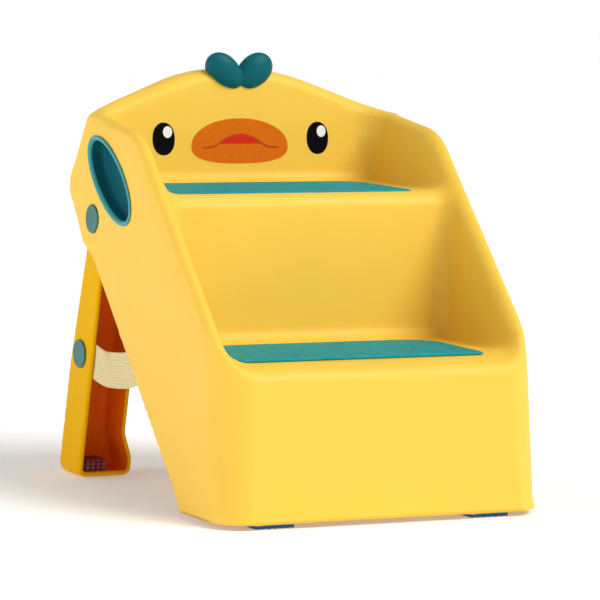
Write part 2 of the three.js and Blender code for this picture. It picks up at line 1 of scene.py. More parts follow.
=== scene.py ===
"""Visual model of the folding toddler step stool: treads, duck-face backrest and hinged rear leg frame.

The large moulded pieces are meshed from signed-distance fields in the part's own millimetres, with Y measured
from the foot of the front face; everything else is mesh code. Nothing here changes a size of the CAD frame.
"""
import math

import bpy
import numpy as np
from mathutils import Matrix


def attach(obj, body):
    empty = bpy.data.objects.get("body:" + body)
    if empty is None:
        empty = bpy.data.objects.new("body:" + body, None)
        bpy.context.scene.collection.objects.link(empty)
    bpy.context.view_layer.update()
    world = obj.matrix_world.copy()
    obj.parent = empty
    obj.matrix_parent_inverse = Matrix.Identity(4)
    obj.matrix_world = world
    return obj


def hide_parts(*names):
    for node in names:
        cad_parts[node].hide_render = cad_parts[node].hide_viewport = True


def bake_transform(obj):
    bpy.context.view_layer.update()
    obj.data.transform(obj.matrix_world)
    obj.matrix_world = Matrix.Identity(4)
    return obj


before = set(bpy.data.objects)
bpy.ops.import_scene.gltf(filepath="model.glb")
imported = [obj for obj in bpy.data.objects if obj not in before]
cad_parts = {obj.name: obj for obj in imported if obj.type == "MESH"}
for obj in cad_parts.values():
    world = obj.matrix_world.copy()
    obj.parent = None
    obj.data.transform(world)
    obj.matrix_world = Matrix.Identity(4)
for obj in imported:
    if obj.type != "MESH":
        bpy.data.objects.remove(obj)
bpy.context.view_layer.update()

import openvdb
from mathutils import Matrix, Vector

MM = 0.001
MIDDLE_Y = 218.16  # from the foot of the front face to the frame's origin
SIDES = (("left", -1), ("right", 1))

# Shell, in millimetres: heights are above the floor, and depths run back from the foot of the front face.
HALF_WIDTH = 180
LEAN = 0.11  # of the front face, back for each millimetre up
STEP_1 = 164
STEP_2 = 317
RISER_FOOT = 186
RISER_HEAD = 190
BACKREST_FOOT = 355
BACKREST_LEAN = 0.08
BACK = 406
HUB_TOP = 323  # where the rear edge of a side wall turns forward
HEAD_BACK = 403
RIM_OFFSET = 140  # the sloping rim of a side wall is the line z = y + RIM_OFFSET
RIM_TOP = 377
SIDE_TOP = 390
REAR_OFFSET = -100.5  # the sloping rear edge is the line z = y + REAR_OFFSET
SHOULDER_TOP = 388
SHOULDER = 24
HEAD_PEAK = 452.5  # where the two roof lines of the head would meet
HEAD_ARCH = 250
SHELL_BASE = 4.4
SKIN = 3.6
WELL_HALF = 159.5  # from the middle to the inner face of a side wall
REAR_OPENING = 150  # half the width of the opening in the back
RIBS = (28, 84)
RIB_THICK = 3.4

# Points of the side view, as (y, z), and the half lengths and tilt of the grip's oval.
PIVOT = (339.8, 280.6)
STRAP_REAR = (383.6, 133.6)
STRAP_FRONT = (215, 160)
GRIP = (296.5, 324)
GRIP_LONG = 61
GRIP_SHORT = 26.5
GRIP_TILT = 0.605

LEG_BASE = 0.8
AWAY = 60  # moves an edge of an outline well clear of the piece


# ---------- signed distances, negative inside ----------
def rounded(corners):
    """The points of a polygon whose corners (a, b, radius) are rounded."""
    points = []
    count = len(corners)
    for i, corner in enumerate(corners):
        here = np.array(corner[:2], float)
        radius = corner[2] if len(corner) > 2 else 0
        if radius == 0:
            points.append(tuple(here))
            continue
        before = np.array(corners[i - 1][:2], float) - here
        after = np.array(corners[(i + 1) % count][:2], float) - here
        before /= np.linalg.norm(before)
        after /= np.linalg.norm(after)
        half = math.acos(np.clip(before @ after, -1, 1)) / 2
        middle = (before + after) / np.linalg.norm(before + after)
        centre = here + middle * radius / math.sin(half)
        start = here + before * radius / math.tan(half) - centre
        turn = np.sign(after[0] * before[1] - after[1] * before[0]) * (math.pi - 2 * half)
        steps = max(2, math.ceil(abs(turn) / 0.09))
        for k in range(steps + 1):
            c, s = math.cos(turn * k / steps), math.sin(turn * k / steps)
            points.append((centre[0] + c * start[0] - s * start[1], centre[1] + s * start[0] + c * start[1]))
    return points


def moved(corners, distances):
    """The corners of the same polygon with edge i moved inwards by distances[i]."""
    count = len(corners)
    area = sum(corners[i - 1][0] * corners[i][1] - corners[i - 1][1] * corners[i][0] for i in range(count))
    edges = []
    for i in range(count):
        a, b = np.array(corners[i][:2], float), np.array(corners[(i + 1) % count][:2], float)
        along = (b - a) / np.linalg.norm(b - a)
        inward = np.array((-along[1], along[0])) * np.sign(area)
        edges.append((a + inward * distances[i], along))
    result = []
    for i in range(count):
        (p, u), (q, v) = edges[i - 1], edges[i]
        reach = ((q - p)[0] * v[1] - (q - p)[1] * v[0]) / (u[0] * v[1] - u[1] * v[0])
        corner = p + u * reach
        result.append((corner[0], corner[1], corners[i][2] if len(corners[i]) > 2 else 0))
    return result


def polygon(a, b, corners):
    """Distance, in the plane of a and b, to a closed polygon with rounded corners."""
    points = rounded(corners)
    nearest, inside = None, None
    for (a0, b0), (a1, b1) in zip(points, points[1:] + points[:1]):
        ea, eb = a1 - a0, b1 - b0
        if ea * ea + eb * eb < 1e-9:
            continue
        t = np.clip(((a - a0) * ea + (b - b0) * eb) / (ea * ea + eb * eb), 0, 1)
        square = (a - a0 - t * ea) ** 2 + (b - b0 - t * eb) ** 2
        nearest = square if nearest is None else np.minimum(nearest, square)
        if eb != 0:
            crossed = ((b0 <= b) != (b1 <= b)) & (a < a0 + (b - b0) * ea / eb)
            inside = crossed if inside is None else inside ^ crossed
    return (np.where(inside, -1, 1) * np.sqrt(nearest)).astype(np.float32)


def both(a, b, radius=0):
    """Intersection, its edge rounded to a radius."""
    if np.isscalar(radius) and radius == 0:
        return np.maximum(a, b)
    outwards = np.hypot(np.maximum(radius + a, 0), np.maximum(radius + b, 0))
    return np.minimum(-radius, np.maximum(a, b)) + outwards


def either(a, b, radius=0):
    """Union, its valley filled to a radius."""
    if np.isscalar(radius) and radius == 0:
        return np.minimum(a, b)
    inwards = np.hypot(np.maximum(radius - a, 0), np.maximum(radius - b, 0))
    return np.maximum(radius, np.minimum(a, b)) - inwards


def without(a, b, radius=0):
    """The first solid with the second cut out of it."""
    return both(a, -b, radius)


def smooth(value, start, end):
    """0 before start and 1 after end, with an even change between them."""
    t = np.clip((value - start) / (end - start), 0, 1)
    return t * t * (3 - 2 * t)


def round_about(u, v, centre, radius):
    return np.hypot(u - centre[0], v - centre[1]) - radius


def between(value, low, high):
    return np.abs(value - (low + high) / 2) - (high - low) / 2


def oval(u, v, centre, long, short, tilt=0.0):
    c, s = math.cos(tilt), math.sin(tilt)
    p = (c * (u - centre[0]) + s * (v - centre[1])) / long
    q = (c * (v - centre[1]) - s * (u - centre[0])) / short
    k0 = np.hypot(p, q)
    k1 = np.hypot(p / long, q / short) + 1e-9
    return k0 * (k0 - 1) / k1


# ---------- meshes ----------
def mesh_object(name, points, faces, normals=None):
    """A smooth-shaded mesh from points in millimetres."""
    mesh = bpy.data.meshes.new(name)
    shifted = np.asarray(points, float) - np.array((0, MIDDLE_Y, 0))
    mesh.from_pydata((shifted * MM).tolist(), [], faces)
    mesh.validate()
    mesh.polygons.foreach_set("use_smooth", [True] * len(mesh.polygons))
    if normals is not None:
        mesh.normals_split_custom_set_from_vertices(normals)
    obj = bpy.data.objects.new(name, mesh)
    bpy.context.collection.objects.link(obj)
    return obj


def sampled(values, index):
    """Trilinear reading of a grid at fractional indices."""
    top = np.array(values.shape) - 1.001
    index = np.clip(index, 0, top)
    base = index.astype(int)
    f = index - base
    total = np.zeros(len(index))
    for corner in range(8):
        step = np.array((corner >> 2 & 1, corner >> 1 & 1, corner & 1))
        weight = np.prod(np.where(step, f, 1 - f), axis=1)
        i, j, k = (base + step).T
        total += weight * values[i, j, k]
    return total


def slope(values, index, reach=0.7):
    """Unit normals of a grid's values at fractional indices."""
    parts = []
    for axis in range(3):
        shift = np.zeros(3)
        shift[axis] = reach
        parts.append(sampled(values, index + shift) - sampled(values, index - shift))
    vector = np.stack(parts, axis=1)
    return vector / (np.linalg.norm(vector, axis=1, keepdims=True) + 1e-9)


def voxelled(name, field, low, high, step, mirror=False, adaptivity=0.0):
    """Meshes field(x, y, z) inside a box of millimetres. mirror makes the -X half from the +X one.
    A field may return a pair: where its second, smoother solid shares the surface, that gives the normals."""
    if mirror:
        low = (0.0, *low[1:])
    axes = [np.arange(a, b + step, step, dtype=np.float32) for a, b in zip(low, high)]
    shape = tuple(len(axis) for axis in axes)
    x, y, z = np.meshgrid(*axes, indexing="ij", sparse=True)
    made = field(x, y, z)
    fields = list(made) if isinstance(made, tuple) else [made]
    fields = [np.broadcast_to(f, shape).astype(np.float32) for f in fields]
    if mirror:
        fields = [np.concatenate([f[:0:-1], f], axis=0) for f in fields]
        low = (-(shape[0] - 1) * step, *low[1:])
    solid = fields[0]
    band = 3 * step
    grid = openvdb.FloatGrid(float(band))
    grid.copyFromArray(np.clip(solid, -band, band), tolerance=0.0)
    index, triangles, quads = grid.convertToPolygons(isovalue=0.0, adaptivity=adaptivity)
    faces = [tuple(f) for f in triangles.tolist()] + [tuple(f) for f in quads.tolist()]
    normals = slope(solid, index)
    if len(fields) > 1:
        outer = np.abs(sampled(fields[1], index)) < 0.4
        normals[outer] = slope(fields[1], index[outer])
    return mesh_object(name, index * step + np.array(low), faces, normals)


def lofted(name, rings):
    """Quads between rings of equal length; the first and last ring are capped with a fan."""
    count = len(rings[0])
    points = [p for r in rings for p in r]
    faces = []
    for i in range(len(rings) - 1):
        for j in range(count):
            k = (j + 1) % count
            faces.append((i * count + j, i * count + k, (i + 1) * count + k, (i + 1) * count + j))
    for ring_index, order in ((0, -1), (len(rings) - 1, 1)):
        centre = np.mean(rings[ring_index], axis=0)
        points.append(tuple(centre))
        hub = len(points) - 1
        start = ring_index * count
        for j in range(count):
            k = (j + 1) % count
            faces.append((start + j, start + k, hub)[::order])
    return mesh_object(name, points, faces)


# ---------- front shell ----------
SIDE_OUTLINE = [
    (LEAN * SHELL_BASE, SHELL_BASE),
    (RIM_OFFSET / (1 / LEAN - 1), RIM_OFFSET / (1 / LEAN - 1) + RIM_OFFSET, 30),
    (RIM_TOP - RIM_OFFSET, RIM_TOP, 70),
    (BACK + HUB_TOP - SIDE_TOP, SIDE_TOP, 50),
    (BACK, HUB_TOP, 30),
    (BACK, BACK + REAR_OFFSET, 20),
    (SHELL_BASE - REAR_OFFSET, SHELL_BASE),
]
HEAD_OUTLINE = [
    (-HALF_WIDTH, 260),
    (-HALF_WIDTH, SHOULDER_TOP, SHOULDER),
    (0, HEAD_PEAK, HEAD_ARCH),
    (HALF_WIDTH, SHOULDER_TOP, SHOULDER),
    (HALF_WIDTH, 260),
]
FAR = 600  # beyond every face of the stool
STAIR = [
    (-AWAY, -AWAY),
    (-AWAY, STEP_1),
    (RISER_FOOT, STEP_1, 15),
    (RISER_HEAD, STEP_2, 18),
    (BACKREST_FOOT, STEP_2, 12),
    (BACKREST_FOOT + BACKREST_LEAN * (FAR - STEP_2), FAR),
    (FAR, FAR),
    (FAR, -AWAY),
]
# Each pad's name, the height of its tread, and its front and back edges.
PADS = (("lower_tread_pad", STEP_1, 39, 164), ("upper_tread_pad", STEP_2, 203, 333))
PAD_LEFT = -150
PAD_RIGHT = 127
PAD_FRONT_CORNER = 8
PAD_REAR_CORNER = 34
# The ledge and the rubber foot under each end of the front edge.
LEDGE_X = (93, 147)
LEDGE_Y = (2, 43)
FRONT_FOOT_X = (99, 143)
FRONT_FOOT_Y = (10, 38)
FRONT_STUD = (121, 24)


def pad_outline(front, back, growth=0):
    return [
        (PAD_LEFT - growth, front - growth, PAD_FRONT_CORNER),
        (PAD_RIGHT + growth, front - growth, PAD_FRONT_CORNER),
        (PAD_RIGHT + growth, back + growth, PAD_REAR_CORNER),
        (PAD_LEFT - growth, back + growth, PAD_REAR_CORNER),
    ]


def shell_field(x, y, z):
    """The moulded shell, and the same solid before it is hollowed."""
    # The walls spread towards the floor, most of all in their last 22 mm.
    flare = 3.0 * np.clip(1 - z / 22, 0, 1) ** 2 + 1.8 * np.clip(1 - z / 170, 0, 1)
    depth = -polygon(y, z, moved(SIDE_OUTLINE, [0, 0, 0, -AWAY, -AWAY, -AWAY, -AWAY]))
    # Near the rim the outer face falls back and the inner face stands further out.
    outside = HALF_WIDTH - 2.5 * np.clip(1 - depth / 35, 0, 1) ** 2
    inside = WELL_HALF + 5 * np.exp(-np.maximum(depth, 0) / 18)
    side = x - outside - flare
    front = (LEAN * z - y) / math.hypot(1, LEAN) - flare
    plan = both(side, front, 40)

    # The outline of the side walls and of the head, each whole and with its back and bottom left open.
    rims = polygon(y, z, moved(SIDE_OUTLINE, [-AWAY, 0, 0, 0, -AWAY, -AWAY, -AWAY]))
    walls = both(rims, plan, 7)
    walls_open = both(walls, polygon(y, z, moved(SIDE_OUTLINE, [0, 0, 0, 0, -AWAY, -AWAY, -AWAY])))
    walls_whole = both(both(both(walls, y - BACK, 6), polygon(y, z, SIDE_OUTLINE)),
                       polygon(y, z, moved(SIDE_OUTLINE, [-AWAY, -AWAY, -AWAY, -AWAY, 0, 0, 0])), 2)
    head_true = polygon(x, z, HEAD_OUTLINE)
    head_top = polygon(x, z, moved(HEAD_OUTLINE, [-AWAY, 0, 0, -AWAY, -AWAY]))
    head_plan = both(x - HALF_WIDTH, y - HEAD_BACK, 70)
    low_front = BACKREST_FOOT - 8 - y
    # The edge of the head is rounder towards its outer rear corners.
    head_edge = 8 + 22 * smooth(y, 365, 395) * smooth(x, 60, 140)
    head = both(both(both(head_top, head_plan, head_edge), head_true), low_front, 10)
    head_open = both(both(head_top, head_true), low_front)

    stair = polygon(y, z, STAIR)
    # The fillet between the treads and the side walls widens above the upper tread.
    body = either(stair, inside - x, 15 + 14 * smooth(z, 325, 365))
    # The wide fillet between the head and the side walls must not stand above the roof lines.
    roof = polygon(x, z, moved(HEAD_OUTLINE, [-AWAY, 0, 0, -AWAY, -FAR]))
    solid = both(either(walls_whole, head, 32), roof)
    solid = both(solid, x - outside - flare)
    # The edge is rounded to 11 mm along the walls, and between them to 23 mm below and 13 mm above.
    inland = 1 - smooth(x, 135, 172)
    edge = 11 + inland * np.where(z < 240, 12, 2)
    solid = both(solid, body, edge)

    opening = x - REAR_OPENING
    room_walls = both(walls_open + SKIN, np.minimum(y - BACK + SKIN, opening))
    room_head = both(head_open + SKIN, np.minimum(head_plan + SKIN, opening))
    room = both(np.minimum(room_walls, room_head), body + SKIN, np.maximum(edge - SKIN, 0.5))
    ribs = np.minimum(np.abs(x - RIBS[0]), np.abs(x - RIBS[1])) - RIB_THICK / 2
    room = without(room, both(ribs, -stair - SKIN - 13))
    shell = without(solid, room)

    for _, height, near, far in PADS:
        recess = both(polygon(x, y, pad_outline(near, far, -0.5)), np.abs(z - height - 8) - 8.6)
        shell = without(shell, recess)
    # The hinge's boss, the tab for the strap's front end and the ledge above the front foot.
    boss = both(round_about(y, z, PIVOT, 17), between(x, 172.4, 178))
    tab_outline = [
        (RISER_FOOT + 1.5, 152),
        (STRAP_FRONT[0] + 13, 146, 12),
        (STRAP_FRONT[0] + 13, 172, 12),
        (RISER_FOOT + 1.5, 200),
    ]
    tab = both(polygon(y, z, tab_outline), between(x, 146, 150))
    ledge = both(both(between(x, *LEDGE_X), between(y, *LEDGE_Y)), between(z, SHELL_BASE, SHELL_BASE + 4))
    shell = either(np.minimum(shell, np.minimum(boss, ledge)), tab, 2.5)
    # The recess of the hinge cap, the seat of the bolt's head and the hole for its shank.
    shell = without(shell, both(round_about(y, z, PIVOT, 14.4), 177.2 - x))
    shell = without(shell, both(round_about(y, z, PIVOT, 9.4), 175 - x))
    shell = without(shell, both(round_about(y, z, PIVOT, 5.4), 165 - x))
    # The hole for the grip pocket, with 0.8 mm to spare in the outer wall.
    shell = without(shell, both(oval(y, z, GRIP, GRIP_LONG + 0.8, GRIP_SHORT + 0.8, GRIP_TILT), 172 - x))
    shell = without(shell, both(oval(y, z, GRIP, GRIP_LONG, GRIP_SHORT, GRIP_TILT), 163.4 - x))
    shell = without(shell, both(round_about(y, z, STRAP_FRONT, 2.7), between(x, 140, 155)))
    return shell, solid


# ---------- rear leg ----------
LEG_OUTER = 172
LEG_INNER = 122
LEG_FOOT_INNER = 111
LEG_WALL = 3.6
LEG_TOP = 330  # above the highest point of the leg
PANEL_TOP = 286
ARCH_TOP = 176
ARCH_CORNER = 50
BEAM = (351, 262)
HEEL_NUB = (154, 403)
LEG_SIDE = [
    (384.1, LEG_BASE, 4),
    (319.7, 298.1, 17),
    (355.1, 307.4, 19),
    (414.5, 118, 250),
    (440, LEG_BASE, 12),
]
LEG_FRONT = [
    (LEG_OUTER, LEG_BASE, 9),
    (LEG_OUTER, LEG_TOP),
    (LEG_INNER, LEG_TOP),
    (LEG_INNER, 48, 30),
    (LEG_FOOT_INNER, 20, 30),
    (LEG_FOOT_INNER, LEG_BASE, 9),
]


def leg_field(x, y, z):
    """The leg frame: two open channels, the arched panel behind them and a round beam."""
    profile = polygon(y, z, LEG_SIDE)
    front = polygon(x, z, LEG_FRONT)
    front_open = polygon(x, z, moved(LEG_FRONT, [0, 0, 0, 0, 0, -AWAY]))
    channel = both(both(profile, front_open, 4), front)
    # The channel's wall is thicker at its open front edge, which slopes by run over rise.
    run, rise = 64.4, 297.3
    behind_lip = ((y - LEG_SIDE[0][0]) * rise + (z - LEG_BASE) * run) / math.hypot(rise, run)
    lip = 1.1 * (1 - smooth(behind_lip, 2, 6))
    hollow = both(polygon(y, z, moved(LEG_SIDE, [-AWAY] + [LEG_WALL] * 4)), front + LEG_WALL + lip, 5)
    channel = without(channel, hollow, 1.2)
    arch_outline = [
        (-LEG_INNER, -AWAY),
        (-LEG_INNER, ARCH_TOP, ARCH_CORNER),
        (LEG_INNER, ARCH_TOP, ARCH_CORNER),
        (LEG_INNER, -AWAY),
    ]
    arch = polygon(x, z, arch_outline)
    behind = polygon(y, z, moved(LEG_SIDE, [-AWAY, -AWAY, 4.2, 4.2, -AWAY]))
    panel = both(without(profile, behind), both(z - PANEL_TOP, x - LEG_INNER - 1))
    panel = without(panel, arch, 1.6)
    beam = both(round_about(y, z, BEAM, 9), x - LEG_INNER - 1)
    leg = either(either(channel, panel, 2), beam, 3)
    boss = both(round_about(y, z, PIVOT, 13), between(x, 166, 171))
    leg = np.minimum(leg, boss)
    leg = without(leg, both(round_about(y, z, PIVOT, 8.6), between(x, 150, 190)))
    leg = without(leg, both(round_about(y, z, STRAP_REAR, 4.0), between(x, 160, 190)))
    leg = without(leg, both(round_about(x, y, HEEL_NUB, 8.4), z - 12))
    return leg


# ---------- tuft ----------
TUFT_X = 16.9
TUFT_Y = 369
TUFT_Z = 433
TUFT_TILT = 0.72
TUFT_SCREW = (15, 371.3)


def tuft_field(x, y, z):
    """Two flattened leaves that lean apart, cut to sit on the top edge of the head."""
    c, s = math.cos(TUFT_TILT), math.sin(TUFT_TILT)
    leaves = None
    for sign in (-1, 1):
        out, up = sign * x - TUFT_X, z - TUFT_Z
        u = c * out + s * up
        v = c * up - s * out
        swell = 1 + 0.12 * np.clip(u / 25, -1, 1)
        w = (y - TUFT_Y) / 12.5
        radial = np.sqrt((u / 24.3) ** 2 + (v / (16.6 * swell)) ** 2 + np.abs(w) ** 2.6)
        leaf = (radial - 1) * 14
        leaves = leaf if leaves is None else either(leaves, leaf, 1.5)
    behind = BACKREST_FOOT + BACKREST_LEAN * (z - STEP_2) - 0.3 - y
    seat = both(polygon(x, z, moved(HEAD_OUTLINE, [-0.3, -0.3, -0.3, -0.3, 0])), behind, 10)
    return without(leaves, seat, 0.6)


shell = voxelled("shell_moulding", shell_field, (0, -6, -2), (188, 412, 444), 2.0, mirror=True,
                 adaptivity=0.35)
leg = voxelled("leg_moulding", leg_field, (0, 310, -2), (176, 446, 314), 1.7, mirror=True, adaptivity=0.02)
tuft = voxelled("tuft_moulding", tuft_field, (-50, 348, 408), (50, 382, 462), 1.0)


# ---------- ribbed pads ----------
def pad_mesh(name, height, near, far):
    """A slab with a rolled edge and fine waving ribs on top."""
    outline = np.array(rounded(pad_outline(near, far)))
    closed = np.vstack([outline, outline[:1]])
    lengths = np.r_[0, np.cumsum(np.linalg.norm(np.diff(closed, axis=0), axis=1))]
    at = np.linspace(0, lengths[-1], 520, endpoint=False)
    edge = np.stack([np.interp(at, lengths, closed[:, 0]), np.interp(at, lengths, closed[:, 1])], axis=1)
    centre = np.array(((PAD_LEFT + PAD_RIGHT) / 2, (near + far) / 2))
    top = height + 0.75
    rings = [[(px, py, height - 1.9) for px, py in edge], [(px, py, top - 0.9) for px, py in edge]]
    levels = [(1 - 0.3 / 90, -0.35), (1 - 0.9 / 90, -0.06)]
    levels += [(t, 0.0) for t in np.linspace(0.984, 0.004, 72)]
    for scale, drop in levels:
        flat = centre + (edge - centre) * scale
        px, py = flat.T
        fade = np.clip((1 - scale) / 0.03, 0, 1)
        wave = np.sin(2 * math.pi * (py + 0.32 * px + 1.5 * np.sin(2 * math.pi * px / 17)) / 4.6)
        cross = np.sin(2 * math.pi * (px - 0.4 * py + 2.0 * np.sin(2 * math.pi * py / 23)) / 6.1)
        rise = 0.16 * wave + 0.07 * cross
        rings.append([(u, v, top + drop + fade * r) for u, v, r in zip(px, py, rise)])
    return lofted(name, rings)


# ---------- round, flat and turned pieces ----------
def turned(name, sign, centre, profile, sides=72):
    """A piece turned about an axis along X, from (x, radius) points, with its x measured outwards."""
    y0, z0 = centre
    rings = []
    for px, radius in profile:
        ring = []
        for i in range(sides):
            angle = 2 * math.pi * i / sides
            ring.append((sign * px, y0 + radius * math.cos(angle), z0 + radius * math.sin(angle)))
        rings.append(ring[::sign])
    return lofted(name, rings)


def bead(x0, x1, radius, soft, dish=0.0):
    """The profile of a disc from x0 to x1 with a soft outer edge and a slightly dished face."""
    points = [(x0, radius * 0.3), (x0, radius - 0.3), (x0 + 0.3, radius), (x1 - soft, radius)]
    for k in range(1, 7):
        a = math.pi / 2 * k / 6
        points.append((x1 - soft + soft * math.sin(a), radius - soft + soft * math.cos(a)))
    points += [(x1 - dish * 0.5, radius - soft - 1.2), (x1 - dish, radius - soft - 2.4)]
    points += [(x1 - dish, radius * 0.5), (x1 - dish + 0.05, radius * 0.12)]
    return points


def cup_mesh(name, sign):
    """The oval carrying pocket: a rolled rim, drafted walls and a rounded floor."""
    # How far outside the oval, and how far from the middle of the stool.
    section = [
        (-12, 163.6), (-1, 164.2), (0.2, 166), (0.3, 179.6),
        (3.5, 180.3), (3.9, 180.7), (3.9, 181.1), (3.4, 181.7), (2.4, 182.0), (1.2, 182.0), (0.0, 181.6),
        (-1.2, 180.6), (-2.0, 179.0), (-2.4, 176.5), (-2.8, 172), (-3.4, 169.6), (-4.6, 167.6), (-6.6, 166.3),
        (-9.5, 165.6), (-15, 165.4), (-22, 165.4),
    ]
    c, s = math.cos(GRIP_TILT), math.sin(GRIP_TILT)
    rings = []
    for growth, px in section:
        ring = []
        for i in range(144):
            angle = 2 * math.pi * i / 144
            u, v = (GRIP_LONG + growth) * math.cos(angle), (GRIP_SHORT + growth) * math.sin(angle)
            ring.append((sign * px, GRIP[0] + c * u - s * v, GRIP[1] + s * u + c * v))
        rings.append(ring[::sign])
    return lofted(name, rings)


def hexagon(u, v, across):
    """Distance to a hexagon, from its flats."""
    a = np.abs(u)
    b = np.abs(v)
    return np.maximum(a, a * 0.5 + b * math.sqrt(0.75)) - across / 2


def small(name, sign, centre, field, low, high, reach, step=0.35):
    """Hardware from a field of (x, u, v), with x outwards and u and v from the axis."""
    y0, z0 = centre

    def placed(x, y, z):
        return field(sign * x, y - y0, z - z0)

    ends = sorted((sign * low, sign * high))
    box_low = (ends[0] - 2 * step, y0 - reach - 2 * step, z0 - reach - 2 * step)
    box_high = (ends[1] + 2 * step, y0 + reach + 2 * step, z0 + reach + 2 * step)
    return voxelled(name, placed, box_low, box_high, step)


def thread(x, u, v, radius, pitch, depth):
    """Distance to a threaded rod."""
    turn = (x / pitch + np.arctan2(v, u) / (2 * math.pi)) % 1.0
    return (np.hypot(u, v) - radius + depth * np.abs(2 * turn - 1) * 1.2) * 0.8


def nut_field(low, high, across, bore):
    def field(x, u, v):
        middle = (low + high) / 2
        body = both(hexagon(u, v, across), between(x, low, high))
        chamfer = np.hypot(u, v) + np.abs(x - middle) * 1.6 - (across / 2 * 1.1 + (high - low) * 0.68)
        return without(both(body, chamfer), thread(x, u, v, bore + 0.3, 1.25, 0.5))
    return field


def ring_field(low, high, inner, outer, soft=0.3):
    def field(x, u, v):
        r = np.hypot(u, v)
        return both(both(r - outer, inner - r, soft), between(x, low, high), soft)
    return field


def bolt_field(tip, head, face, shank, radius):
    def field(x, u, v):
        r = np.hypot(u, v)
        rod = both(thread(x, u, v, shank, 1.25, 0.45), between(x, tip, tip + 12))
        plain = both(r - shank, between(x, tip + 12, head + 0.2))
        top = both(r - radius, between(x, head, face), 0.5)
        drive = both(hexagon(u, v, 6.0), face - 1.3 - x)
        return without(np.minimum(np.minimum(rod, plain), top), drive)
    return field


def screw_field(tip, head, face, shank, radius):
    """A pan-head screw with a cross recess."""
    def field(x, u, v):
        r = np.hypot(u, v)
        rod = both(thread(x, u, v, shank, 1.1, 0.4), between(x, tip, head + 0.2))
        dome = both(np.sqrt((x - face + 6.5) ** 2 + r ** 2) - 6.5, head - x)
        pan = both(dome, r - radius, 0.4)
        wide, tall = np.abs(u), np.abs(v)
        arms = np.minimum(np.maximum(wide - 0.55, tall - 2.7), np.maximum(tall - 0.55, wide - 2.7))
        cross = both(arms, face - 1.7 + 0.25 * r - x)
        return without(np.minimum(rod, pan), cross)
    return field


def plate_field(low, high):
    def field(x, u, v):
        outline = np.hypot(np.maximum(np.abs(u) - 6, 0), np.maximum(np.abs(v) - 11, 0)) - 3
        plate = both(outline, between(x, low, high), 0.4)
        return without(plate, np.hypot(u, v) - 2.8, 0.2)
    return field


# ---------- rubber feet ----------
def front_foot_field(sign):
    def field(x, y, z):
        px = sign * x
        sides = both(between(px, *FRONT_FOOT_X), between(y, *FRONT_FOOT_Y), 4)
        pad = both(sides, between(z, 0, SHELL_BASE - 0.3), 0.5)
        for k in range(6):
            pad = without(pad, both(np.abs(px - 104 - k * 6.8) - 0.9, z - 0.5), 0.2)
        stud = both(round_about(px, y, FRONT_STUD, 3 + 0.4 * (z > 8.7)), between(z, 1, 10.4))
        return np.minimum(pad, stud)
    return field


def rear_foot_field(sign):
    floor = LEG_BASE + LEG_WALL + 0.2
    outline = [(388, floor), (417, floor), (417, 19, 3), (385, 19, 3)]

    def field(x, y, z):
        px = sign * x
        block = both(between(px, 139, 168.2), polygon(y, z, outline))
        block = both(block, np.abs(px - 153.6) - 14.6, 1)
        for k in range(4):
            block = without(block, both(np.abs(px - 144.8 - k * 6.0) - 0.9, y - 390.2), 0.4)
        for k in range(3):
            block = without(block, both(np.abs(z - 8.2 - k * 4.0) - 0.45, y - 388.6), 0.3)
        nub = both(round_about(px, y, HEEL_NUB, 8), between(z, 0, floor + 1), 0.8)
        return np.minimum(block, nub)
    return field


# ---------- webbing strap ----------
def smooth_path(points, count):
    """A Catmull-Rom curve through points, resampled to even spacing."""
    p = np.array([2 * np.array(points[0]) - np.array(points[1]), *points,
                  2 * np.array(points[-1]) - np.array(points[-2])], float)
    dense = []
    for i in range(1, len(p) - 2):
        for t in np.linspace(0, 1, 40, endpoint=False):
            a, b, c, d = p[i - 1:i + 3]
            bend = 2 * a - 5 * b + 4 * c - d
            twist = 3 * b - a - 3 * c + d
            dense.append(0.5 * (2 * b + (c - a) * t + bend * t * t + twist * t ** 3))
    dense.append(p[-2])
    dense = np.array(dense)
    run = np.r_[0, np.cumsum(np.linalg.norm(np.diff(dense, axis=0), axis=1))]
    at = np.linspace(0, run[-1], count)
    return np.stack([np.interp(at, run, dense[:, k]) for k in range(3)], axis=1), run[-1]


STRAP_HALF = 19
STRAP_THICK = 1.5
RIB_PITCH = 3.1


